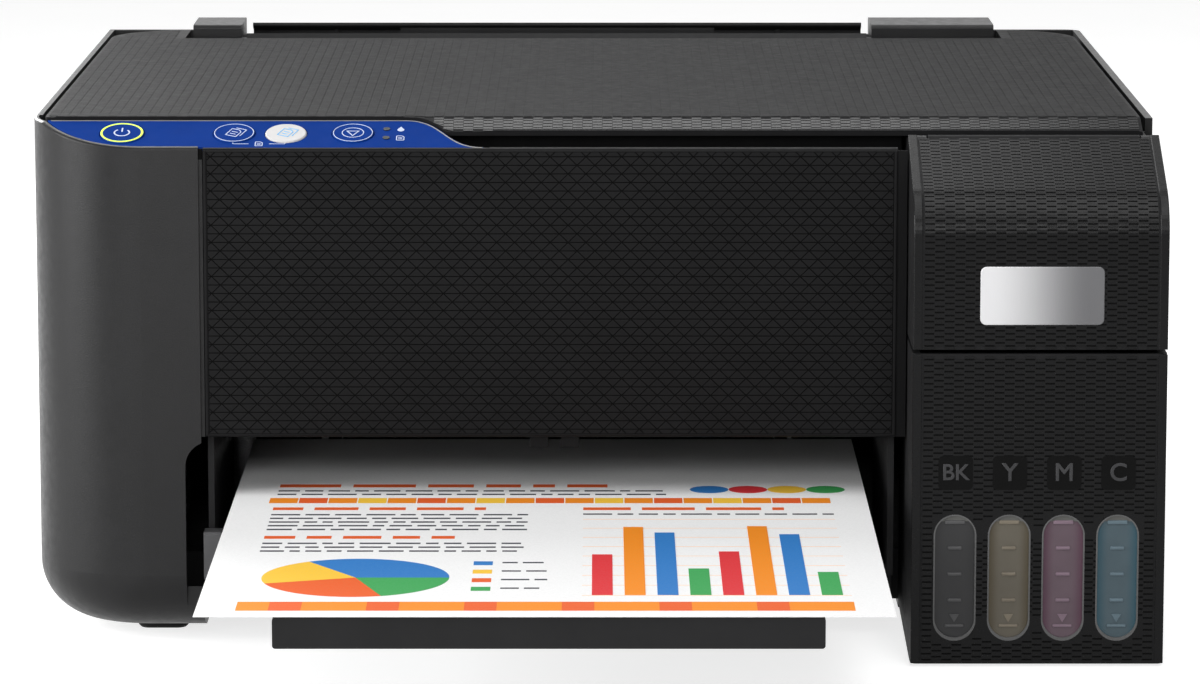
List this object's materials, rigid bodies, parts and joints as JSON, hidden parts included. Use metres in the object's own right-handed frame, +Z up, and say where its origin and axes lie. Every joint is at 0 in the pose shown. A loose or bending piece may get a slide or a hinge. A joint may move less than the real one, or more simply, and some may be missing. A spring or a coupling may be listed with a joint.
{
  "type": "inkjet printer",
  "caption": "Boxy black inkjet printer with a flatbed scanner lid, rear paper feed, side ink tanks with windows, a sloping control panel and a sliding output tray.",
  "frame": {"origin": "middle of the footprint with the printed sheet out, at the level of the feet", "axes": "+X to the right and +Y to the back, seen from the front, +Z up"},
  "size_m": [0.375, 0.507, 0.179],
  "materials": {
    "casing_plastic": "fine-grained satin black",
    "textured_plastic": "black with a raised dash texture",
    "panel_plastic": "black with a fine triangle relief",
    "inner_plastic": "plain satin black",
    "grey_plastic": "plain grey",
    "control_blue": "semi-gloss blue",
    "button_dark": "semi-gloss blue",
    "button_light": "semi-gloss light grey",
    "ink_black": "smoked translucent, black ink behind",
    "ink_yellow": "smoked translucent, yellow ink behind",
    "ink_magenta": "smoked translucent, magenta ink behind",
    "ink_cyan": "smoked translucent, cyan ink behind",
    "cap_plastic": "satin dark grey",
    "glass": "clear",
    "white_foam": "white pad",
    "rubber": "matt black",
    "steel": "zinc-plated sheet",
    "motor_steel": "plated can",
    "board_green": "green board",
    "head_steel": "metal face",
    "paper": "printed, uncoated"
  },
  "bodies": {
    "chassis": {"base_frame": "inner_plastic", "left_casing": "casing_plastic", "right_casing": "casing_plastic", "rear_cover": "casing_plastic", "front_panel": "panel_plastic", "rubber_feet": "rubber", "bay_corner_guide": "grey_plastic", "frame_plates": "steel", "carriage_rail": "steel", "carriage_motor": "motor_steel", "timing_belt": "rubber", "platen": "inner_plastic", "feed_motor": "motor_steel", "capping_station": "inner_plastic", "main_board": "board_green", "power_supply": "inner_plastic", "power_inlet": "inner_plastic", "usb_port": "inner_plastic", "rear_feeder": "casing_plastic", "tank_housing": "textured_plastic", "cover_hinge_pin": "steel", "scanner_hinge_pins": "steel", "ink_tank_black": "ink_black", "ink_tank_yellow": "ink_yellow", "ink_tank_magenta": "ink_magenta", "ink_tank_cyan": "ink_cyan"},
    "scanner_unit": {"scanner_frame": "casing_plastic", "scanner_glass": "glass", "scan_rod": "steel", "control_panel": "control_blue", "lid_hinge_pins": "steel"},
    "lid": {"document_lid": "textured_plastic", "lid_pad": "white_foam"},
    "scan_head": {"scan_bar": "inner_plastic"},
    "tank_cover": {"tank_cover": "textured_plastic"},
    "carriage": {"print_carriage": "inner_plastic", "print_head": "head_steel"},
    "motor_pulley": {"motor_pulley": "grey_plastic"},
    "idler_pulley": {"idler_pulley": "grey_plastic"},
    "feed_roller": {"feed_roller": "rubber"},
    "eject_roller": {"eject_roller": "rubber"},
    "idler_gear": {"idler_gear": "grey_plastic"},
    "motor_pinion": {"motor_pinion": "grey_plastic"},
    "pickup_roller": {"pickup_roller": "rubber"},
    "paper_support": {"paper_support": "inner_plastic"},
    "support_extension": {"support_extension": "inner_plastic"},
    "edge_guide_left": {"edge_guide_left": "inner_plastic"},
    "edge_guide_right": {"edge_guide_right": "inner_plastic"},
    "output_tray": {"output_tray": "inner_plastic"},
    "tray_extension": {"tray_extension": "inner_plastic"},
    "printed_sheet": {"printed_sheet": "paper"},
    "power_button": {"power_button": "button_dark"},
    "black_copy_button": {"black_copy_button": "button_dark"},
    "colour_copy_button": {"colour_copy_button": "button_light"},
    "stop_button": {"stop_button": "button_dark"},
    "tank_cap_black": {"tank_cap_black": "cap_plastic"},
    "tank_cap_yellow": {"tank_cap_yellow": "cap_plastic"},
    "tank_cap_magenta": {"tank_cap_magenta": "cap_plastic"},
    "tank_cap_cyan": {"tank_cap_cyan": "cap_plastic"}
  },
  "joints": [
    {"name": "scanner_hinge", "type": "hinge", "parent": "chassis", "child": "scanner_unit", "pos_m": [0, 0.2245, 0.157], "axis": [-1, 0, 0], "range_deg": [0, 30]},
    {"name": "lid_hinge", "type": "hinge", "parent": "scanner_unit", "child": "lid", "pos_m": [0, 0.2345, 0.167], "axis": [-1, 0, 0], "range_deg": [0, 60]},
    {"name": "scan_bar_slide", "type": "slide", "parent": "scanner_unit", "child": "scan_head", "axis": [1, 0, 0], "range_m": [0, 0.272]},
    {"name": "power_button_press", "type": "slide", "parent": "scanner_unit", "child": "power_button", "axis": [0, 0.3236, -0.9462], "range_m": [0, 0.001], "stiffness_N_per_m": 600},
    {"name": "black_copy_button_press", "type": "slide", "parent": "scanner_unit", "child": "black_copy_button", "axis": [0, 0.3236, -0.9462], "range_m": [0, 0.001], "stiffness_N_per_m": 600},
    {"name": "colour_copy_button_press", "type": "slide", "parent": "scanner_unit", "child": "colour_copy_button", "axis": [0, 0.3236, -0.9462], "range_m": [0, 0.001], "stiffness_N_per_m": 600},
    {"name": "stop_button_press", "type": "slide", "parent": "scanner_unit", "child": "stop_button", "axis": [0, 0.3236, -0.9462], "range_m": [0, 0.001], "stiffness_N_per_m": 600},
    {"name": "tank_cover_hinge", "type": "hinge", "parent": "chassis", "child": "tank_cover", "pos_m": [0.146, -0.0535, 0.1685], "axis": [-1, 0, 0], "range_deg": [0, 75]},
    {"name": "tank_cap_black_hinge", "type": "hinge", "parent": "chassis", "child": "tank_cap_black", "pos_m": [0.11878, -0.0475, 0.0872], "axis": [-1, 0, 0], "range_deg": [0, 100]},
    {"name": "tank_cap_yellow_hinge", "type": "hinge", "parent": "chassis", "child": "tank_cap_yellow", "pos_m": [0.13653, -0.0475, 0.0872], "axis": [-1, 0, 0], "range_deg": [0, 100]},
    {"name": "tank_cap_magenta_hinge", "type": "hinge", "parent": "chassis", "child": "tank_cap_magenta", "pos_m": [0.15427, -0.0475, 0.0872], "axis": [-1, 0, 0], "range_deg": [0, 100]},
    {"name": "tank_cap_cyan_hinge", "type": "hinge", "parent": "chassis", "child": "tank_cap_cyan", "pos_m": [0.17203, -0.0475, 0.0872], "axis": [-1, 0, 0], "range_deg": [0, 100]},
    {"name": "output_tray_slide", "type": "slide", "parent": "chassis", "child": "output_tray", "axis": [0, 1, 0], "range_m": [0, 0.108]},
    {"name": "tray_extension_slide", "type": "slide", "parent": "output_tray", "child": "tray_extension", "axis": [0, 1, 0], "range_m": [0, 0.08]},
    {"name": "printed_sheet_slide", "type": "slide", "parent": "chassis", "child": "printed_sheet", "axis": [0, -1, 0], "range_m": [0, 0.12]},
    {"name": "paper_support_slide", "type": "slide", "parent": "chassis", "child": "paper_support", "axis": [0, 0.4226, 0.9063], "range_m": [0, 0.085]},
    {"name": "support_extension_slide", "type": "slide", "parent": "paper_support", "child": "support_extension", "axis": [0, 0.4226, 0.9063], "range_m": [0, 0.074]},
    {"name": "edge_guide_left_slide", "type": "slide", "parent": "chassis", "child": "edge_guide_left", "axis": [1, 0, 0], "range_m": [0, 0.055]},
    {"name": "edge_guide_right_slide", "type": "slide", "parent": "chassis", "child": "edge_guide_right", "axis": [-1, 0, 0], "range_m": [0, 0.055]},
    {"name": "carriage_slide", "type": "slide", "parent": "chassis", "child": "carriage", "axis": [-1, 0, 0], "range_m": [0, 0.24]},
    {"name": "motor_pulley_spin", "type": "hinge", "parent": "chassis", "child": "motor_pulley", "pos_m": [-0.111, 0.1345, 0.1345], "axis": [0, 0, 1], "continuous": true},
    {"name": "idler_pulley_spin", "type": "hinge", "parent": "chassis", "child": "idler_pulley", "pos_m": [0.164, 0.1345, 0.1345], "axis": [0, 0, 1], "continuous": true},
    {"name": "feed_roller_spin", "type": "hinge", "parent": "chassis", "child": "feed_roller", "pos_m": [0, 0.1105, 0.0595], "axis": [1, 0, 0], "continuous": true},
    {"name": "eject_roller_spin", "type": "hinge", "parent": "chassis", "child": "eject_roller", "pos_m": [0, 0.0565, 0.0595], "axis": [1, 0, 0], "continuous": true},
    {"name": "idler_gear_spin", "type": "hinge", "parent": "chassis", "child": "idler_gear", "pos_m": [0, 0.0835, 0.0595], "axis": [1, 0, 0], "continuous": true},
    {"name": "motor_pinion_spin", "type": "hinge", "parent": "chassis", "child": "motor_pinion", "pos_m": [0, 0.1345, 0.0595], "axis": [1, 0, 0], "continuous": true},
    {"name": "pickup_roller_spin", "type": "hinge", "parent": "chassis", "child": "pickup_roller", "pos_m": [-0.014, 0.19548, 0.09725], "axis": [1, 0, 0], "continuous": true}
  ],
  "couplings": [
    {"joint": "eject_roller_spin", "follows": "feed_roller_spin", "ratio": 1},
    {"joint": "idler_gear_spin", "follows": "feed_roller_spin", "ratio": -2},
    {"joint": "motor_pinion_spin", "follows": "feed_roller_spin", "ratio": -3},
    {"joint": "edge_guide_right_slide", "follows": "edge_guide_left_slide", "ratio": 1},
    {"joint": "motor_pulley_spin", "follows": "carriage_slide", "rad_per_m": -147.06},
    {"joint": "idler_pulley_spin", "follows": "carriage_slide", "rad_per_m": -147.06}
  ]
}
